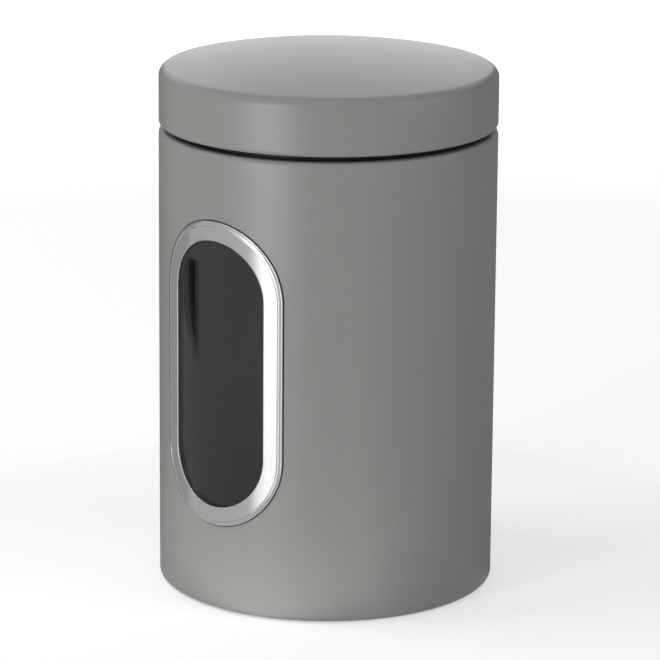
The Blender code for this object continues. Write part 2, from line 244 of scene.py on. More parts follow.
def make_grain():
    """Fine bumps with a matching change of colour and roughness, as on coats and mouldings."""
    group, given, out = new_group(
        "fine_grain",
        {
            "Colour": (0.5, 0.5, 0.5, 1.0),
            "Colour Change": 0.05,
            "Roughness": 0.5,
            "Roughness Change": 0.05,
            "Grain Size": 0.0008,
        },
        {"Colour": COLOUR, "Roughness": FLOAT, "Height": FLOAT},
    )
    place = add(group, "ShaderNodeTexCoord").outputs["Object"]
    scale = work_out(group, "DIVIDE", 1.0, given.outputs["Grain Size"])
    fine = add(
        group,
        "ShaderNodeTexNoise",
        {"Vector": place, "Scale": scale, "Detail": 2.0, "Roughness": 0.5},
    )
    broad = add(
        group,
        "ShaderNodeTexNoise",
        {"Vector": place, "Scale": BROAD_SCALE, "Detail": 3.0, "Roughness": 0.55},
    )
    swing = work_out(group, "SUBTRACT", broad.outputs["Fac"], 0.5)
    speck = work_out(group, "SUBTRACT", fine.outputs["Fac"], 0.5)
    both = work_out(group, "ADD", swing, speck)
    shade = work_out(group, "MULTIPLY_ADD", both, given.outputs["Colour Change"], 1.0)
    tint = add(group, "ShaderNodeVectorMath", {0: given.outputs["Colour"]}, operation="SCALE")
    group.links.new(shade, tint.inputs["Scale"])
    change = given.outputs["Roughness Change"]
    rough = work_out(group, "MULTIPLY_ADD", both, change, given.outputs["Roughness"])
    group.links.new(tint.outputs[0], out.inputs["Colour"])
    group.links.new(rough, out.inputs["Roughness"])
    group.links.new(fine.outputs["Fac"], out.inputs["Height"])
    return group


GRAIN = make_grain()
print("group", GRAIN.name)

# %% Brushing


def make_brushing():
    """Fine straight lines along Z, as a brushing belt leaves them, in height and roughness."""
    group, given, out = new_group(
        "straight_brushing",
        {"Roughness": 0.2, "Roughness Change": 0.1, "Line Width": 0.0002, "Line Length": 0.02},
        {"Roughness": FLOAT, "Height": FLOAT, "Shade": FLOAT},
    )
    place = add(group, "ShaderNodeTexCoord").outputs["Object"]
    across = work_out(group, "DIVIDE", 1.0, given.outputs["Line Width"])
    along = work_out(group, "DIVIDE", 1.0, given.outputs["Line Length"])
    stretch = add(group, "ShaderNodeCombineXYZ", {"X": across, "Y": across, "Z": along})
    drawn = add(group, "ShaderNodeVectorMath", {0: place, 1: stretch.outputs[0]}, operation="MULTIPLY")
    lines = add(
        group,
        "ShaderNodeTexNoise",
        {"Vector": drawn.outputs[0], "Scale": 1.0, "Detail": 3.0, "Roughness": 0.6},
    )
    swing = work_out(group, "SUBTRACT", lines.outputs["Fac"], 0.5)
    change = given.outputs["Roughness Change"]
    rough = work_out(group, "MULTIPLY_ADD", swing, change, given.outputs["Roughness"])
    group.links.new(rough, out.inputs["Roughness"])
    group.links.new(lines.outputs["Fac"], out.inputs["Height"])
    group.links.new(swing, out.inputs["Shade"])
    return group


BRUSHING = make_brushing()
print("group", BRUSHING.name)

# %% Helpers for materials


def new_material(name):
    """A material with a bare Principled shader."""
    made = bpy.data.materials.new(name)
    made.use_nodes = True
    return made, made.node_tree, made.node_tree.nodes["Principled BSDF"]


def place_group(tree, group, **values):
    """The group as a node, with its own values."""
    node = tree.nodes.new("ShaderNodeGroup")
    node.node_tree = group
    for label, value in values.items():
        node.inputs[label.replace("_", " ")].default_value = value
    return node


def add_bump(tree, shader, height, depth):
    """Feeds a height, taken as up to a depth in metres, to the shader's normal."""
    bump = add(tree, "ShaderNodeBump", {"Height": height, "Distance": depth, "Strength": 1.0})
    tree.links.new(bump.outputs[0], shader.inputs["Normal"])


def make_grained(name, colour, change, roughness, rough_change, size, depth, sheen=0.50):
    """A plain material whose colour, roughness and bumps come from the fine grain."""
    made, tree, shader = new_material(name)
    shader.inputs["Specular IOR Level"].default_value = sheen
    grain = place_group(
        tree,
        GRAIN,
        Colour=(*colour, 1.0),
        Colour_Change=change,
        Roughness=roughness,
        Roughness_Change=rough_change,
        Grain_Size=size,
    )
    tree.links.new(grain.outputs["Colour"], shader.inputs["Base Color"])
    tree.links.new(grain.outputs["Roughness"], shader.inputs["Roughness"])
    add_bump(tree, shader, grain.outputs["Height"], depth)
    return made


# %% [markdown]
# ## The paint
# The wall and the lid are powder coated: a fine dust of pigment, melted on. It leaves a satin skin
# with a very shallow waviness and hardly any sparkle. The colour is a warm grey.

# %% Powder coat
COAT = make_grained(
    "grey_powder_coat",
    colour=(0.262, 0.260, 0.250),
    change=0.05,
    roughness=0.39,
    rough_change=0.06,
    size=0.0009,
    depth=0.000008,
)

# %% [markdown]
# Inside, the sheet has a thin dark lacquer against rust. Its darkness is partly painted shade: it is
# set so that the view through the window stays as dark as the shade inside the closed tin.

# %% Inner lacquer, partly painted shade
LACQUER_AND_SHADE = make_grained(
    "dark_lacquer_and_shade",
    colour=(0.200, 0.200, 0.195),
    change=0.15,
    roughness=0.60,
    rough_change=0.10,
    size=0.0014,
    depth=0.000001,
    sheen=0.20,
)

# %% [markdown]
# ## The metals
# The window's frame is pressed from stainless sheet with a fine satin polish, so it mirrors the room
# softly. The bottom is plain rolled steel, duller and greyer.

# %% Steel
LINE_SHADE = 0.06  # how much the brushing lines differ in brightness


def make_steel(name, colour, roughness, change, width, length, depth):
    """Brushed metal of one colour, with lines of a width and a length."""
    made, tree, shader = new_material(name)
    brushing = place_group(
        tree,
        BRUSHING,
        Roughness=roughness,
        Roughness_Change=change,
        Line_Width=width,
        Line_Length=length,
    )
    shade = work_out(tree, "MULTIPLY_ADD", brushing.outputs["Shade"], LINE_SHADE, 1.0)
    tint = add(tree, "ShaderNodeVectorMath", {0: colour}, operation="SCALE")
    tree.links.new(shade, tint.inputs["Scale"])
    tree.links.new(tint.outputs[0], shader.inputs["Base Color"])
    tree.links.new(brushing.outputs["Roughness"], shader.inputs["Roughness"])
    shader.inputs["Metallic"].default_value = 1.0
    add_bump(tree, shader, brushing.outputs["Height"], depth)
    return made


BRIGHT = make_steel(
    "satin_stainless",
    colour=(0.88, 0.88, 0.87),
    roughness=0.14,
    change=0.08,
    width=0.00018,
    length=0.012,
    depth=0.0000006,
)
BARE = make_steel(
    "rolled_steel",
    colour=(0.50, 0.50, 0.50),
    roughness=0.36,
    change=0.12,
    width=0.00025,
    length=0.03,
    depth=0.000002,
)

# %% [markdown]
# ## The mouldings
# The plug and the ring in the mouth are black moulded plastic, the seals smoke-grey silicone, and the
# foot black rubber. They differ in colour, gloss and how coarse their grain is.

# %% Plastics and rubbers


def make_moulding(name, level, roughness, size, depth, sheen):
    """A neutral moulded material of one grey level."""
    return make_grained(name, (level, level, level), 0.25, roughness, 0.12, size, depth, sheen)


BLACK = make_moulding("black_moulding", 0.006, 0.50, 0.0005, 0.000008, 0.12)
SILICONE = make_moulding("smoke_silicone", 0.30, 0.52, 0.0010, 0.000006, 0.40)
RUBBER = make_moulding("foot_rubber", 0.012, 0.78, 0.0004, 0.00002, 0.30)

# %% [markdown]
# ## The clear pane
# Moulded clear plastic bends light a little less than window glass, and it is never quite true: the
# middle sinks as it cools, so the pane mirrors the room as if it were flatter than the wall. A bump
# gives it that sink and a faint waviness. For the rays that carry lamp light it is simply open, by Is
# Shadow Ray, so that light reaches the inside.

# %% Clear plastic
PLASTIC_IOR = 1.49
CLEAR_COLOUR = (0.96, 0.97, 0.97, 1.0)
SINK_DEPTH = 0.0012
SINK_FADE = (0.036, 0.054)  # heights between which the sink runs out towards the foot
WAVE_DEPTH = 0.00003
WAVE_SCALE = 55.0


def make_clear():
    made, tree, shader = new_material("clear_plastic")
    shader.inputs["Base Color"].default_value = CLEAR_COLOUR
    shader.inputs["Roughness"].default_value = 0.0
    shader.inputs["IOR"].default_value = PLASTIC_IOR
    shader.inputs["Transmission Weight"].default_value = 1.0
    place = add(tree, "ShaderNodeTexCoord").outputs["Object"]
    waves = add(tree, "ShaderNodeTexNoise", {"Vector": place, "Scale": WAVE_SCALE, "Detail": 1.0})
    axes = add(tree, "ShaderNodeSeparateXYZ", {"Vector": place})
    across = work_out(tree, "DIVIDE", axes.outputs["X"], OPENING_HALF)
    sink = work_out(tree, "MULTIPLY", across, across)
    foot = add(
        tree,
        "ShaderNodeMapRange",
        {"Value": axes.outputs["Z"], "From Min": SINK_FADE[0], "From Max": SINK_FADE[1]},
        interpolation_type="SMOOTHSTEP",
    )
    sunk = work_out(tree, "MULTIPLY", sink, foot.outputs["Result"])
    height = work_out(tree, "MULTIPLY_ADD", waves.outputs["Fac"], WAVE_DEPTH / SINK_DEPTH, sunk)
    add_bump(tree, shader, height, SINK_DEPTH)
    path = add(tree, "ShaderNodeLightPath")
    open_way = add(tree, "ShaderNodeBsdfTransparent")
    mixed = add(
        tree,
        "ShaderNodeMixShader",
        {"Fac": path.outputs["Is Shadow Ray"], 1: shader.outputs[0], 2: open_way.outputs[0]},
    )
    tree.links.new(mixed.outputs[0], tree.nodes["Material Output"].inputs["Surface"])
    return made


CLEAR = make_clear()
FINISHES = (COAT, LACQUER_AND_SHADE, BRIGHT, BARE, BLACK, SILICONE, RUBBER, CLEAR)
print("materials:", [finish.name for finish in FINISHES])

# %% [markdown]
# ## The wall
# The canister's wall is one rolled and welded sheet. Its top is rolled in to a shoulder and ledge for
# the mouth ring, and its lower edge is turned in to carry the bottom. It is drawn as a single surface
# from the lower edge up, bent at two corners, and Solidify then gives it the sheet's thickness.
# Closely spaced rings up the wall keep the faces round the window's hole small, so the hole doesn't
# disturb the shading of the paint.

# %% Wall
SHOULDER_ROUND = 0.0017
LEDGE = 0.0016  # flat part of the shoulder, inside its rounding
BOTTOM_ROUND = 0.0021
TURN_IN = 0.0009  # flat part of the foot, inside its rounding
FIRST_RING = WALL_BOTTOM + 0.004
LAST_RING = WALL_TOP - 0.005
WALL_RINGS = 74
EDGE_SOFTNESS = 0.00012  # rounding of a cut sheet edge
CUT_ANGLE = 1.0  # in radians: sharper edges of the sheet are its cut edges


def make_sheet(piece, **settings):
    """Gives a drawn surface the sheet's thickness and softens the sheet's cut edges."""
    apply_modifier(piece, "SOLIDIFY", thickness=WALL, offset=-1, use_even_offset=True, **settings)
    apply_modifier(
        piece, "BEVEL", width=EDGE_SOFTNESS, segments=2, limit_method="ANGLE", angle_limit=CUT_ANGLE
    )


def make_wall():
    section = [(BODY_RADIUS - BOTTOM_ROUND - TURN_IN, WALL_BOTTOM), (BODY_RADIUS, WALL_BOTTOM)]
    for step in range(WALL_RINGS):
        height = FIRST_RING + (LAST_RING - FIRST_RING) * step / (WALL_RINGS - 1)
        section.append((BODY_RADIUS, height))
    section += [(BODY_RADIUS, WALL_TOP), (BODY_RADIUS - SHOULDER_ROUND - LEDGE, WALL_TOP)]
    piece = turn("painted_wall", section)
    round_corner(piece, section, 1, BOTTOM_ROUND, 5)
    round_corner(piece, section, len(section) - 2, SHOULDER_ROUND, 8)
    face_out(piece)
    # The inner skin gets the lacquer, whose darkness is partly painted shade.
    for finish in (COAT, LACQUER_AND_SHADE):
        piece.data.materials.append(finish)
    make_sheet(piece, material_offset=1)
    return piece


painted_wall = make_wall()
print("wall:", [round(size * 1000, 2) for size in painted_wall.dimensions], "mm")

# %% [markdown]
# ## The window's pieces, flat first
# A press makes the window's frame flat and then forms it to the wall. The same order works here: a
# disc is pulled apart to a capsule, shaped by insets and extrusions while it lies flat with Z as the
# way out, then stood up and bent with Simple Deform. Modelling on the curved wall at once would make
# every offset a hard sum.

# %% Helpers for the window
FRAME_HALF = 0.0264  # half the width of the frame
WINDOW_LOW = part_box("window_frame")[0].z
WINDOW_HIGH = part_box("window_frame")[1].z
WINDOW_CENTRE = (WINDOW_LOW + WINDOW_HIGH) / 2
STRAIGHT = WINDOW_HIGH - WINDOW_LOW - 2 * FRAME_HALF  # length of the capsule's straight sides
LOOP_WIDTH = 2e-5  # how near to a distance from the spine a loop's vertices lie
CUT_SNAP = 1e-6  # how near a cut may pass a vertex
CAPSULE_STEPS = 98  # an odd number for each end, so that no vertex lies on the dividing line


def spine_distance(place):
    """How far a point of a flat capsule lies from the straight line along its middle."""
    return math.hypot(place.x, max(abs(place.y) - STRAIGHT / 2, 0.0))


def capsule(name, half, out):
    """A flat capsule-shaped face at a height out from the wall, open in edit mode and selected."""
    bpy.ops.mesh.primitive_circle_add(
        vertices=CAPSULE_STEPS, radius=half, fill_type="NGON", location=(0, 0, out)
    )
    piece = begin(name)
    for side in (1, -1):
        pick(piece, "VERT", lambda vert: vert.co.y * side > 0)
        bpy.ops.transform.translate(value=(0, side * STRAIGHT / 2, 0))
    pick(piece, "FACE", lambda face: True)
    return piece


def pick_floor(piece, out, up):
    """Picks the large face that lies at a height and looks up or down."""
    pick(
        piece,
        "FACE",
        lambda face: face.normal.z * up > 0.9
        and len(face.verts) >= CAPSULE_STEPS
        and abs(face.calc_center_median().z - out) < TINY,
    )


def inset(width, rise):
    """Insets the selected face by a width, evenly, and moves it along its normal."""
    bpy.ops.mesh.inset(thickness=width, depth=rise, use_boundary=True, use_even_offset=True)


def round_loop(piece, far, out, radius, segments):
    """Bevels the loop at a distance from the spine and a height out."""
    pick(
        piece,
        "EDGE",
        lambda edge: all(
            abs(spine_distance(end.co) - far) < LOOP_WIDTH and abs(end.co.z - out) < TINY
            for end in edge.verts
        ),
    )
    bpy.ops.mesh.bevel(offset=radius, segments=segments, affect="EDGES", clamp_overlap=False)


def slice_columns(count, half):
    """Cuts the whole piece into upright strips, which can then follow the wall's curve."""
    for step in range(1, count):
        bpy.ops.mesh.select_all(action="SELECT")
        place = -half + 2 * half * step / count
        bpy.ops.mesh.bisect(plane_co=(place, 0, 0), plane_no=(1, 0, 0), threshold=CUT_SNAP)


def bend_to_wall(piece):
    """Stands a flat piece up in front of the wall and bends it to the wall's curve."""
    bpy.ops.mesh.select_all(action="SELECT")
    bpy.ops.mesh.normals_make_consistent(inside=False)
    bpy.ops.object.mode_set(mode="OBJECT")
    piece.rotation_euler.x = math.radians(90)
    bpy.ops.object.transform_apply(rotation=True)
    apply_modifier(
        piece,
        "SIMPLE_DEFORM",
        deform_method="BEND",
        deform_axis="Z",
        angle=piece.dimensions.x / BODY_RADIUS,
    )
    piece.location = (0, -BODY_RADIUS, WINDOW_CENTRE)
    bpy.ops.object.transform_apply(location=True)


# %% [markdown]
# The hole in the wall is 2.9 mm larger all round than the frame's opening. A bent plug of that shape
# is taken out of the wall with a Boolean, and then thrown away.

# %% Window hole
HOLE_HALF = OPENING_HALF + 0.0029
CUTTER_REACH = 0.003  # to each side of the wall's outer face
CUTTER_COLUMNS = 44


def cut_hole(wall):
    cutter = capsule("hole_cutter", HOLE_HALF, -CUTTER_REACH)
    extrude(2 * CUTTER_REACH)
    slice_columns(CUTTER_COLUMNS, HOLE_HALF)
    bend_to_wall(cutter)
    cutter.select_set(False)
    bpy.context.view_layer.objects.active = wall
    wall.select_set(True)
    apply_modifier(wall, "BOOLEAN", operation="DIFFERENCE", solver="EXACT", object=cutter)
    bpy.data.objects.remove(cutter)


cut_hole(painted_wall)
finish_piece(painted_wall, "body_shell", "canister", "grey_coat")

# %% [markdown]
# ## The window's frame
# The bright frame is one pressing: an edge rolled down to the wall, a crease with a fine groove, a
# flat face, and a collar turned in round the opening. Its front is drawn by insets from the front
# face, its back by insets from the back face, and the two meet at the collar's edge. The eight tabs
# that hold it pass through the hole and are folded out behind the wall.

# %% Frame sizes
FACE = 0.0010  # height of the face at the opening, above the wall
CREASE = 0.0011  # height of the face at the crease
SHEET = 0.0005
RIM = 0.00005  # upright edge at the frame's foot
STRIP = 0.0015  # width of the rolled edge
ROLL_STEPS = 7
GROOVE = 0.0002  # depth, and half the width
FACE_STEPS = 5
COLLAR_END = 0.0004
COLLAR_ROUND = 0.00028
TAB_OUTER = HOLE_HALF - GAP
TAB_LENGTH = 0.0050
TAB_HOLD = 0.0018  # how far a tab reaches behind the wall
BEHIND_WALL = -WALL - GAP
WELD = 1e-5  # edges of the front and the back that are nearer than this are joined

# %% Frame


def draw_frame_front(piece):
    """From the foot over the rolled edge, the groove and the face to the collar."""
    extrude(RIM)
    turned = [math.radians(90 * step / ROLL_STEPS) for step in range(ROLL_STEPS + 1)]
    rise = CREASE - GAP - RIM
    for low, high in zip(turned, turned[1:]):
        inset(STRIP * (math.cos(low) - math.cos(high)), rise * (math.sin(high) - math.sin(low)))
    inset(GROOVE, -GROOVE)
    inset(GROOVE, GROOVE)
    band = FRAME_HALF - STRIP - 2 * GROOVE - OPENING_HALF
    for _ in range(FACE_STEPS):
        inset(band / FACE_STEPS, (FACE - CREASE) / FACE_STEPS)
    extrude(COLLAR_END - FACE)


def draw_frame_back(piece):
    """From the foot up behind the face, with loops for the tabs, to the collar's edge."""
    pick_floor(piece, GAP, -1)
    inset(SHEET, 0.0)
    crease_back = CREASE - SHEET
    inset(STRIP - SHEET, GAP - crease_back)
    band = FRAME_HALF - STRIP - OPENING_HALF - SHEET
    fall = crease_back - (FACE - SHEET)
    outer = FRAME_HALF - STRIP - TAB_OUTER
    for width in (outer, SHEET, band - outer - SHEET):
        inset(width, fall * width / band)
    extrude(COLLAR_END - (FACE - SHEET))
    inset(SHEET, 0.0)


def on_a_tab(place):
    """True where one of the eight tabs stands: three on each straight side and one at each end."""
    if abs(place.y) < STRAIGHT / 2:
        pitch = STRAIGHT / 3
        off_centre = abs(place.y - pitch * round(place.y / pitch))
        return off_centre < TAB_LENGTH / 2
    return abs(place.x) < TAB_LENGTH / 2


def fold_tabs(piece):
    """Extrudes the tabs down through the hole and then out behind the wall."""
    pitch = STRAIGHT / 3
    for level in (-1, 0, 1):
        for end in (-0.5, 0.5):
            bpy.ops.mesh.select_all(action="SELECT")
            height = level * pitch + end * TAB_LENGTH
            bpy.ops.mesh.bisect(plane_co=(0, height, 0), plane_no=(0, 1, 0), threshold=CUT_SNAP)
    pick(
        piece,
        "FACE",
        lambda face: face.normal.z < -0.9
        and TAB_OUTER - SHEET < spine_distance(face.calc_center_median()) < TAB_OUTER
        and on_a_tab(face.calc_center_median()),
    )
    extrude(BEHIND_WALL - (FACE - SHEET))
    extrude(-SHEET)

    def looks_out(face):
        middle = face.calc_center_median()
        return (
            BEHIND_WALL - SHEET < middle.z < BEHIND_WALL
            and spine_distance(middle) > TAB_OUTER - 5e-5
            and abs(face.normal.z) < 0.1
            and spine_distance(middle + face.normal * 0.001) > spine_distance(middle) + 0.0009
        )

    pick(piece, "FACE", looks_out)
    bpy.ops.mesh.extrude_region_shrink_fatten(TRANSFORM_OT_shrink_fatten={"value": TAB_HOLD})


def make_frame():
    piece = capsule("steel_frame", FRAME_HALF, GAP)
    draw_frame_front(piece)
    draw_frame_back(piece)
    pick(piece, "FACE", lambda face: len(face.verts) == CAPSULE_STEPS)
    bpy.ops.mesh.delete(type="ONLY_FACE")
    bpy.ops.mesh.select_all(action="SELECT")
    bpy.ops.mesh.remove_doubles(threshold=WELD)
    round_loop(piece, OPENING_HALF, FACE, COLLAR_ROUND, 5)
    fold_tabs(piece)
    bend_to_wall(piece)
    return piece


finish_piece(make_frame(), "window_frame", "canister", "stainless", BRIGHT)

# %% [markdown]
# A hairline of black rubber runs all round the frame's edge. It is painted shadow, standing for the
# dark line of shade in the gap under the frame. It also keeps light from shining through below the
# frame.

# %% Painted shadow line round the frame
SHADOW_BEAD_OUT = 0.0003
SHADOW_BEAD_IN = 0.0003
SHADOW_BEAD_HEIGHT = 0.00026
SHADOW_BEAD_FOOT = 0.00002
SHADOW_BEAD_ROUND = 0.00012


def band(name, outer, inner, low, high):
    """A flat capsule-shaped band between two distances from the spine and two heights."""
    piece = capsule(name, outer, low)
    extrude(high - low)
    inset(outer - inner, 0.0)
    pick_floor(piece, low, -1)
    inset(outer - inner, 0.0)
    pick(piece, "FACE", lambda face: len(face.verts) == CAPSULE_STEPS)
    bpy.ops.mesh.delete(type="ONLY_FACE")
    pick(piece, "EDGE", lambda edge: edge.is_boundary)
    bpy.ops.mesh.bridge_edge_loops()
    return piece


def make_shadow_bead():
    outer = FRAME_HALF + SHADOW_BEAD_OUT
    piece = band("frame_shadow_bead", outer, FRAME_HALF - SHADOW_BEAD_IN, SHADOW_BEAD_FOOT, SHADOW_BEAD_HEIGHT)
    round_loop(piece, outer, SHADOW_BEAD_HEIGHT, SHADOW_BEAD_ROUND, 3)
    bend_to_wall(piece)
    return piece


# The black strip round the frame is painted shadow for the gap under its edge.
dress_extra(make_shadow_bead(), "canister", "foot_rubber", RUBBER)

# %% [markdown]
# ## The pane and its seal
# The pane is a shallow dish of clear plastic. Its raised middle fills the frame's opening from behind,
# and its flange is bonded to the back of the wall by a silicone ring, so that no air gets in.

# %% Pane and seal
PANE_FRONT = 0.0001
PANE_RISE = 0.00055  # the part inside the collar stands this much higher
PANE_EDGE = OPENING_HALF - 0.00015
PANE_THICKNESS = 0.0018
PANE_FLANGE = 0.0012
PANE_LIP = 0.0001  # rounding of the part inside the collar
PANE_ROUND = 0.0003
SEAL_THICKNESS = 0.0009
SEAL_BAND = 0.0025
SEAL_ROUND = 0.0002
BOSS_HALF = TAB_OUTER - SHEET - GAP  # the raised middle passes inside the frame's tabs
SEAL_INNER = HOLE_HALF + 0.0015 + GAP
SEAL_OUTER = SEAL_INNER + SEAL_BAND
PANE_HALF = SEAL_OUTER + 0.0004
FLANGE_FRONT = BEHIND_WALL - SEAL_THICKNESS - GAP
PANE_COLUMNS = 48


def make_pane():
    back = FLANGE_FRONT - PANE_FLANGE
    piece = capsule("clear_pane", PANE_HALF, back)
    extrude(PANE_FLANGE)
    inset(PANE_HALF - BOSS_HALF, 0.0)
    extrude(PANE_FRONT - FLANGE_FRONT)
    inset(BOSS_HALF - PANE_EDGE, 0.0)
    extrude(PANE_RISE)
    pick_floor(piece, back, -1)
    inset(PANE_HALF - BOSS_HALF + PANE_THICKNESS, 0.0)
    extrude(PANE_FRONT - PANE_THICKNESS - back)
    round_loop(piece, PANE_EDGE, PANE_FRONT + PANE_RISE, PANE_LIP, 2)
    round_loop(piece, BOSS_HALF, PANE_FRONT, PANE_ROUND, 3)
    round_loop(piece, PANE_HALF, back, PANE_ROUND, 2)
    slice_columns(PANE_COLUMNS, PANE_HALF)
    bend_to_wall(piece)
    return piece


def make_pane_seal():
    back = BEHIND_WALL - SEAL_THICKNESS
    piece = band("pane_seal", SEAL_OUTER, SEAL_INNER, back, BEHIND_WALL)
    for far in (SEAL_INNER, SEAL_OUTER):
        for out in (BEHIND_WALL, back):
            round_loop(piece, far, out, SEAL_ROUND, 2)
    bend_to_wall(piece)
    return piece


finish_piece(make_pane(), "window_pane", "canister", "clear_plastic", CLEAR)
finish_piece(make_pane_seal(), "window_seal", "canister", "silicone", SILICONE)

# %% [markdown]
# ## The bottom and the foot
# The bottom is a pressed pan: its rim lies on the wall's turned-in edge, and its middle is pressed up
# with one stiffening step. A thin rubber ring under it keeps the canister from sliding.

# %% Bottom and foot
PAN_SHEET = 0.0005
PAN_RIM = WALL_BOTTOM + WALL + GAP
PANEL_RISE = 0.0035  # of the middle above the rim
PANEL_SLOPE = 0.0012  # width of the slope up to it
STEP_FROM_SLOPE = 0.0191
STEP_SIZE = 0.0008  # width and depth of the stiffening step
FOOT_INNER = 0.0515
FOOT_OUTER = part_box("foot_ring")[1].x
FOOT_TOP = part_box("foot_ring")[1].z


def make_pan():
    panel = PAN_RIM + PANEL_RISE
    rim = FOOT_INNER - 0.0004
    step = rim - PANEL_SLOPE - STEP_FROM_SLOPE
    section = [
        (BODY_RADIUS - BOTTOM_ROUND, PAN_RIM),
        (rim, PAN_RIM),
        (rim - PANEL_SLOPE, panel),
        (step, panel),
        (step - STEP_SIZE, panel - STEP_SIZE),
        (0.006, panel - STEP_SIZE),
        (0.0, panel - STEP_SIZE),
    ]
    piece = turn("steel_pan", section)
    for corner, radius, segments in ((1, 0.0006, 4), (2, 0.0010, 5), (3, 0.0006, 4), (4, 0.0006, 4)):
        round_corner(piece, section, corner, radius, segments)
    face_out(piece)
    if piece.data.polygons[-1].normal.z > 0:
        piece.data.flip_normals()
    apply_modifier(piece, "SOLIDIFY", thickness=PAN_SHEET, offset=-1, use_even_offset=True)
    return piece


def make_foot():
    section = [(FOOT_INNER, 0.0), (FOOT_OUTER, 0.0), (FOOT_OUTER, FOOT_TOP), (FOOT_INNER, FOOT_TOP)]
    piece = turn("rubber_foot", section)
    close_ring(piece, section)
    for index in (0, 1):
        round_corner(piece, section, index, 0.0003, 4)
    face_out(piece)
    return piece


finish_piece(make_pan(), "base_pan", "canister", "bare_steel", BARE)
finish_piece(make_foot(), "foot_ring", "canister", "foot_rubber", RUBBER)

# %% [markdown]
# ## The mouth ring
# A black moulded ring is snapped into the shoulder. Its flange covers the ledge's raw edge, and its
# bore is what the lid's seal slides into. Outside it shows only as the dark line under the lid.

# %% Mouth ring
RING_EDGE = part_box("mouth_ring")[1].x
RING_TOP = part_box("mouth_ring")[1].z
RING_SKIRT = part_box("mouth_ring")[0].z
RING_RADIUS = BODY_RADIUS - SHOULDER_ROUND - LEDGE - GAP
BORE = RING_RADIUS - 0.0012
SNAP_BEAD = 0.0007  # how far the bead under the shoulder stands out


def make_mouth_ring():
    bead_top = WALL_TOP - WALL - GAP
    bead = RING_RADIUS + SNAP_BEAD
    flange = WALL_TOP + GAP
    section = [
        (BORE, RING_SKIRT),
        (RING_RADIUS, RING_SKIRT),
        (RING_RADIUS, bead_top - 0.0020),
        (bead, bead_top - 0.0004),
        (bead, bead_top),
        (RING_RADIUS, bead_top),
        (RING_RADIUS, flange),
        (RING_EDGE, flange),
        (RING_EDGE, RING_TOP),
        (BORE, RING_TOP),
    ]
    piece = turn("mouth_ring_moulding", section)
    close_ring(piece, section)
    round_corner(piece, section, 9, 0.0007, 5)
    for corner, radius in ((8, 0.0002), (7, 0.0002), (1, 0.0003), (0, 0.0003)):
        round_corner(piece, section, corner, radius, 3)
    face_out(piece)
    return piece


finish_piece(make_mouth_ring(), "mouth_ring", "canister", "black_plastic", BLACK)

# %% [markdown]
# ## The lid
# The lid is drawn from sheet like the wall: a straight side under a shallow dome, with a rolled-in
# hem. Many rings over the dome keep it smooth where light grazes it.

# %% Lid shell
LID_SIDE = 0.0195  # height of the straight side, up to the corner's tip
LID_CORNER = 0.0034
SIDE_RINGS = (0.0035, 0.0065, 0.0095, 0.0125, 0.0150)  # heights up the side
DOME_EDGE = 0.0045  # from the side in to the dome's first ring
HEM_ROUND = 0.0013
HEM_FLAT = 0.0011
HEM_RADIUS = BODY_RADIUS - HEM_ROUND - HEM_FLAT
DOME_RINGS = 26


def make_lid():
    dome = LID_TOP - LID_BOTTOM - LID_SIDE
    sphere = (BODY_RADIUS**2 + dome**2) / (2 * dome)
    section = [(HEM_RADIUS, LID_BOTTOM), (BODY_RADIUS, LID_BOTTOM)]
    for height in SIDE_RINGS:
        section.append((BODY_RADIUS, LID_BOTTOM + height))
    corner = len(section)
    section.append((BODY_RADIUS, LID_BOTTOM + LID_SIDE))
    for ring in range(DOME_RINGS):
        radius = (BODY_RADIUS - DOME_EDGE) * (1 - ring / DOME_RINGS)
        section.append((radius, LID_TOP - sphere + math.sqrt(sphere**2 - radius**2)))
    section.append((0.0, LID_TOP))
    piece = turn("painted_lid", section)
    round_corner(piece, section, 1, HEM_ROUND, 7)
    round_corner(piece, section, corner, LID_CORNER, 14)
    face_out(piece)
    make_sheet(piece)
    return piece


painted_lid = make_lid()
print("lid:", [round(size * 1000, 2) for size in painted_lid.dimensions], "mm")
finish_piece(painted_lid, "lid_shell", "lid", "grey_coat", COAT)

# %% [markdown]
# ## The plug and its seal
# Under the lid sits a moulded plug. The lid's hem traps its flange, its shoulder stands on the mouth
# ring, and the groove round it holds the two-lip seal that makes the canister airtight.

# %% Plug and seal
PLUG_RADIUS = BORE - 0.0008
GROOVE_RADIUS = PLUG_RADIUS - 0.0022
SEAL_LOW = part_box("lid_seal")[0].z
SEAL_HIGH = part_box("lid_seal")[1].z
PLUG_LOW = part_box("lid_insert")[0].z
PLUG_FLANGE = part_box("lid_insert")[1].x
FLANGE_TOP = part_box("lid_insert")[1].z
PLUG_HOLLOW = GROOVE_RADIUS - 0.0018
PLUG_FLOOR = 0.0020
PLUG_MIDDLE = 0.020  # the discs inside this radius are single faces
LIP_REACH = 0.0010
LIP_HALF = 0.00015  # half a lip's thickness at its tip


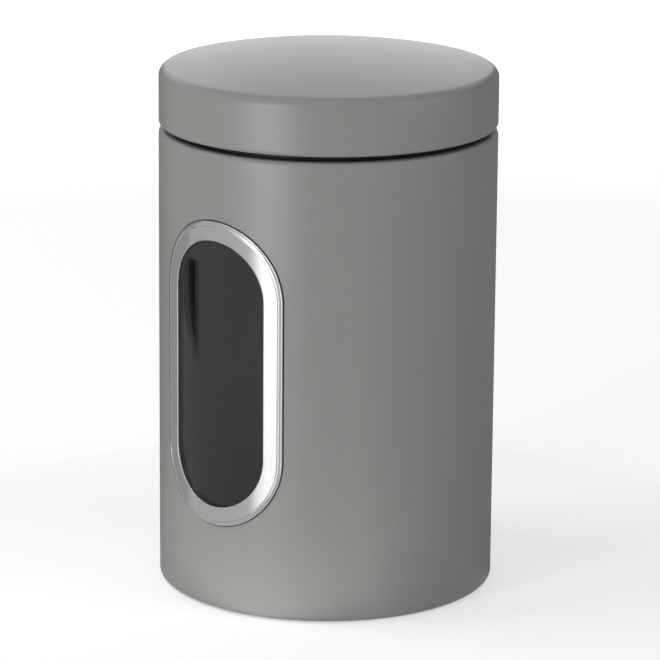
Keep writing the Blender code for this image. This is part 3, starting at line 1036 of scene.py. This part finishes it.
def make_plug():
    flange_low = LID_BOTTOM + WALL + GAP
    shoulder = HEM_RADIUS - GAP
    section = [
        (PLUG_MIDDLE, PLUG_LOW),
        (PLUG_RADIUS, PLUG_LOW),
        (PLUG_RADIUS, SEAL_LOW - GAP),
        (GROOVE_RADIUS, SEAL_LOW - GAP),
        (GROOVE_RADIUS, SEAL_HIGH + GAP),
        (PLUG_RADIUS, SEAL_HIGH + GAP),
        (PLUG_RADIUS, LID_BOTTOM),
        (shoulder, LID_BOTTOM),
        (shoulder, flange_low),
        (PLUG_FLANGE, flange_low),
        (PLUG_FLANGE, FLANGE_TOP),
        (PLUG_HOLLOW, FLANGE_TOP),
        (PLUG_HOLLOW, PLUG_LOW + PLUG_FLOOR),
        (PLUG_MIDDLE, PLUG_LOW + PLUG_FLOOR),
    ]
    piece = turn("lid_plug_moulding", section)
    round_corner(piece, section, 1, 0.0012, 6)
    round_corner(piece, section, 9, HEM_ROUND - WALL - GAP, 5)
    for index in (2, 5, 7):
        round_corner(piece, section, index, 0.0002, 3)
    round_corner(piece, section, 12, 0.0010, 4)
    close_discs(piece, section)
    face_out(piece)
    return piece


def make_lid_seal():
    tip = BORE - GAP
    root = tip - LIP_REACH
    quarter = (SEAL_HIGH - SEAL_LOW) / 4
    section = [(GROOVE_RADIUS + GAP, SEAL_LOW), (root, SEAL_LOW)]
    for lip in (SEAL_LOW + quarter, SEAL_LOW + 3 * quarter):
        section += [(tip, lip - LIP_HALF), (tip, lip + LIP_HALF), (root, lip + quarter)]
    section.append((GROOVE_RADIUS + GAP, SEAL_HIGH))
    piece = turn("plug_seal", section)
    close_ring(piece, section)
    for index in (2, 3, 5, 6):
        round_corner(piece, section, index, 0.00012, 2)
    round_corner(piece, section, 4, 0.0002, 3)
    face_out(piece)
    return piece


finish_piece(make_plug(), "lid_insert", "lid", "black_plastic", BLACK)
finish_piece(make_lid_seal(), "lid_seal", "lid", "silicone", SILICONE)

# %% [markdown]
# ## The camera
# The picture was taken from above the canister's shoulder with a long lens. Place, angles and focal
# length come from fitting a pinhole camera to the canister's edges.

# %% Camera
CAMERA_BEARING = math.radians(40.1)  # from the window's middle round to the camera
CAMERA_DISTANCE = 1.3289
CAMERA_HEIGHT = 0.4408
CAMERA_TILT = 0.2588  # down from level
CAMERA_YAW = 0.0008
CAMERA_ROLL = 0.0079
CAMERA_LENS = 212.9  # focal length in millimetres, for a sensor of the width below
SENSOR_WIDTH = 36.0


def make_camera():
    data = bpy.data.cameras.new("camera")
    data.lens = CAMERA_LENS
    data.sensor_width = SENSOR_WIDTH
    camera = bpy.data.objects.new("camera", data)
    bpy.context.scene.collection.objects.link(camera)
    place = Vector((math.sin(CAMERA_BEARING), -math.cos(CAMERA_BEARING), 0.0)) * CAMERA_DISTANCE
    place.z = CAMERA_HEIGHT
    camera.matrix_world = (
        Matrix.Translation(place)
        @ Matrix.Rotation(CAMERA_BEARING - CAMERA_YAW, 4, "Z")
        @ Matrix.Rotation(math.pi / 2 - CAMERA_TILT, 4, "X")
        @ Matrix.Rotation(CAMERA_ROLL, 4, "Z")
    )
    bpy.context.scene.camera = camera


make_camera()

# %% [markdown]
# ## The studio
# Soft lights, a pale floor and a white surround. Lamps and world together light a matt surface at
# about the level at which its colour shows as written. The surround is white for the camera and for
# mirror and glass rays, and weaker as a light, so that the background is white while the object keeps
# its shading. Behind the lamps the floor glows more, so that it runs into the white surround.

# %% Floor and surround
FLOOR_SIZE = 6.0
FLOOR_COLOUR = (0.82, 0.82, 0.82, 1.0)
WHITE = (1.0, 1.0, 1.0, 1.0)
FILL_LEVEL = 0.05
FLOOR_GLOW = 0.50
GLOW_NEAR = 0.60  # where the floor begins to glow more, from the canister's axis
GLOW_FAR = 1.10


def seen_directly(tree):
    """1 for rays from the camera, a mirror or glass, and 0 for the rays that only carry light."""
    path = add(tree, "ShaderNodeLightPath")
    seen = path.outputs["Is Camera Ray"]
    for kind in ("Is Glossy Ray", "Is Transmission Ray"):
        seen = work_out(tree, "MAXIMUM", seen, path.outputs[kind])
    return seen


def make_floor():
    bpy.ops.mesh.primitive_plane_add(size=FLOOR_SIZE)
    floor = bpy.context.object
    floor.name = "studio_floor"
    made, tree, shader = new_material("pale_floor")
    shader.inputs["Base Color"].default_value = FLOOR_COLOUR
    shader.inputs["Roughness"].default_value = 0.9
    place = add(tree, "ShaderNodeNewGeometry")
    away = add(tree, "ShaderNodeVectorMath", {0: place.outputs["Position"]}, operation="LENGTH")
    level = add(
        tree,
        "ShaderNodeMapRange",
        {
            "Value": away.outputs["Value"],
            "From Min": GLOW_NEAR,
            "From Max": GLOW_FAR,
            "To Min": FLOOR_GLOW,
            "To Max": 1.0,
        },
    )
    glow = work_out(tree, "MULTIPLY", seen_directly(tree), level.outputs["Result"])
    light = add(tree, "ShaderNodeEmission", {"Color": WHITE, "Strength": glow})
    both = add(tree, "ShaderNodeAddShader", {0: shader.outputs[0], 1: light.outputs[0]})
    tree.links.new(both.outputs[0], tree.nodes["Material Output"].inputs["Surface"])
    floor.data.materials.append(made)
    floor.select_set(False)


def make_surround():
    world = bpy.data.worlds.new("white_surround")
    world.use_nodes = True
    bpy.context.scene.world = world
    tree = world.node_tree
    strength = work_out(tree, "MULTIPLY_ADD", seen_directly(tree), 1.0 - FILL_LEVEL, FILL_LEVEL)
    background = tree.nodes["Background"]
    background.inputs["Color"].default_value = WHITE
    tree.links.new(strength, background.inputs["Strength"])


make_floor()
make_surround()

# %% [markdown]
# ## Flags
# A mirror-like frame shows whatever stands round it. In a white studio it would be white all over, so
# photographers set grey and black cards, called flags, just outside the picture. These curved flags
# stand close to the canister and are only there for mirror rays: they cast no shadow, add no light and
# aren't seen. Bearings count from the camera's, with the camera's left negative. Between the cards on
# the left and the one at the camera is a gap, through which the frame mirrors the white studio. Three
# narrow cards make the gap's edge fade, and another closes its top.

# %% Flags
FLAG_FOOT = 0.0596  # where the cards begin on the floor, just outside the canister
FLAG_RADIUS = 0.170
FLAG_STEP = 5.0  # degrees per strip
TABLE_LIFT = 0.0003  # of a card that lies on the table
BACK_GAP = 0.004  # from the ring of flags in to the standing cards
WEDGE_GAP = 0.002  # and in to the wedge


def add_card(name, columns, rows, level, place_of):
    """A grid with one grey level, for mirror rays alone. A function places each of its vertices, which
    come as shares of the way across and up."""
    bpy.ops.mesh.primitive_grid_add(x_subdivisions=columns, y_subdivisions=rows, size=1.0)
    card = bpy.context.object
    card.name = name
    for vert in card.data.vertices:
        vert.co = place_of(vert.co.x + 0.5, vert.co.y + 0.5)
    made = bpy.data.materials.new(name + "_card")
    made.use_nodes = True
    tree = made.node_tree
    tree.nodes.remove(tree.nodes["Principled BSDF"])
    face = add(tree, "ShaderNodeEmission", {"Color": (level, level, level, 1.0), "Strength": 1.0})
    tree.links.new(face.outputs[0], tree.nodes["Material Output"].inputs["Surface"])
    card.data.materials.append(made)
    card.visible_camera = False
    card.visible_diffuse = False
    card.visible_shadow = False
    card.select_set(False)


def place_at(bearing, radius, height):
    """The point at a bearing, a distance from the canister's axis and a height."""
    turned = math.radians(bearing) + CAMERA_BEARING
    return Vector((math.sin(turned) * radius, -math.cos(turned) * radius, height))


def add_flag(name, start, end, height, level):
    """A card that lies on the floor near the canister and then stands up, between two bearings."""

    def place_of(across, up):
        bearing = start + (end - start) * across
        radius = FLAG_FOOT if up < 0.25 else FLAG_RADIUS
        return place_at(bearing, radius, height if up > 0.75 else TABLE_LIFT)

    add_card(name, round(abs(end - start) / FLAG_STEP), 2, level, place_of)


add_flag("flag_left", -43.5, -88, 0.500, 0.40)
add_flag("flag_left_rear", -88, -116, 0.400, 0.28)
add_flag("flag_rear_left", -116, -150, 0.225, 0.03)
add_flag("flag_back_left", -150, -180, 0.165, 0.03)
add_flag("flag_right", 25, 85, 0.165, 0.40)
add_flag("flag_right_rear", 85, 150, 0.260, 0.15)
add_flag("flag_back_right", 150, 180, 0.165, 0.03)


def add_floor_card(name, start, end, radius, level):
    """A card flat on the table between two bearings, for the lower edge of the frame to mirror."""

    def place_of(across, up):
        bearing = start + (end - start) * across
        return place_at(bearing, radius if up > 0.5 else FLAG_FOOT, TABLE_LIFT)

    add_card(name, 12, 1, level, place_of)


def add_wedge(name, edge, width, foot, height, level):
    """A narrow card in front of the left flag, pointed at its foot, for the pane to mirror."""

    def place_of(across, up):
        reach = width * min(1.0, 2 * up) * across
        return place_at(edge - reach, FLAG_RADIUS - WEDGE_GAP, foot + height * up)

    add_card(name, 3, 2, level, place_of)


def add_standing_card(name, start, end, low, high, level):
    """An upright card between two bearings and two heights, a little inside the ring of flags."""

    def place_of(across, up):
        bearing = start + (end - start) * across
        return place_at(bearing, FLAG_RADIUS - BACK_GAP, low + (high - low) * up)

    add_card(name, 4, 1, level, place_of)


add_floor_card("flag_front", -43.5, 18.0, 0.165, 0.40)
add_wedge("black_wedge", -76.7, 6.6, 0.0550, 0.0390, 0.01)
add_standing_card("key_edge_dark", -43.5, -41.5, 0.001, 0.145, 0.55)
add_standing_card("key_edge_mid", -41.5, -39.5, 0.001, 0.145, 0.78)
add_standing_card("key_edge_pale", -39.5, -36.0, 0.001, 0.145, 0.92)
add_standing_card("key_top", -43.5, -27.0, 0.145, 0.500, 0.46)
add_standing_card("camera_card", -18.0, 8.0, 0.001, 0.230, 0.44)

# %% [markdown]
# One more card hangs above and is lit. It is what the lid's front corner and the frame's upper edge
# mirror, and it keeps the lid's corner as bright as its side.

# %% Upper card
CARD_HEIGHT = 0.550
CARD_NEAR = 0.180  # from the axis towards the camera
CARD_FAR = -0.420  # and away from it
CARD_WIDTH = 0.5


def place_above(across, up):
    middle = place_at(0, CARD_FAR if up > 0.5 else CARD_NEAR, CARD_HEIGHT)
    return middle + place_at(90, CARD_WIDTH * (across - 0.5), 0.0)


add_card("card_above", 1, 1, 1.3, place_above)

# %% Lamps
LAMP_TARGET = Vector((0.0, 0.0, 0.10))  # what every softbox looks at
PLATE_LIFT = 0.0004


def add_softbox(name, bearing, elevation, distance, width, height, level):
    """A rectangular lamp that looks at the canister. Its level is how white its own face would look."""
    data = bpy.data.lights.new(name, "AREA")
    data.shape = "RECTANGLE"
    data.size = width
    data.size_y = height
    data.energy = math.pi * width * height * level
    lamp = bpy.data.objects.new(name, data)
    bpy.context.scene.collection.objects.link(lamp)
    raised = math.radians(elevation)
    away = place_at(bearing, math.cos(raised), math.sin(raised))
    lamp.location = LAMP_TARGET + away * distance
    lamp.rotation_euler = away.to_track_quat("Z", "Y").to_euler()
    return lamp


add_softbox("key_softbox", -41, 0, 1.1, 0.50, 0.18, 15.2)
add_softbox("tall_softbox", -42, 20, 1.1, 0.12, 0.50, 6.0)
add_softbox("left_softbox", -90, 38, 1.1, 0.70, 0.70, 2.88).visible_glossy = False
add_softbox("front_softbox", 0, 52, 1.1, 0.70, 0.70, 0.55).visible_glossy = False
add_softbox("right_softbox", 63, 15, 1.1, 0.70, 0.70, 2.69).visible_glossy = False
add_softbox("back_softbox", 180, 23, 1.3, 2.40, 1.00, 0.82)


def add_light_plate(name, bearing, radius, length, width, level):
    """A lit plate on the table, by the foot of the wall, that brightens it from below."""
    data = bpy.data.lights.new(name, "AREA")
    data.shape = "ELLIPSE"
    data.size = length
    data.size_y = width
    data.energy = math.pi * math.pi * data.size * data.size_y / 4 * level
    lamp = bpy.data.objects.new(name, data)
    bpy.context.scene.collection.objects.link(lamp)
    lamp.location = place_at(bearing, radius, PLATE_LIFT)
    lamp.rotation_euler = (math.pi, 0.0, math.radians(bearing) + CAMERA_BEARING)
    lamp.visible_camera = False
    lamp.visible_glossy = False


add_light_plate("light_plate", -23, 0.080, 0.190, 0.040, 1.2)

bpy.context.scene.view_settings.view_transform = "Standard"
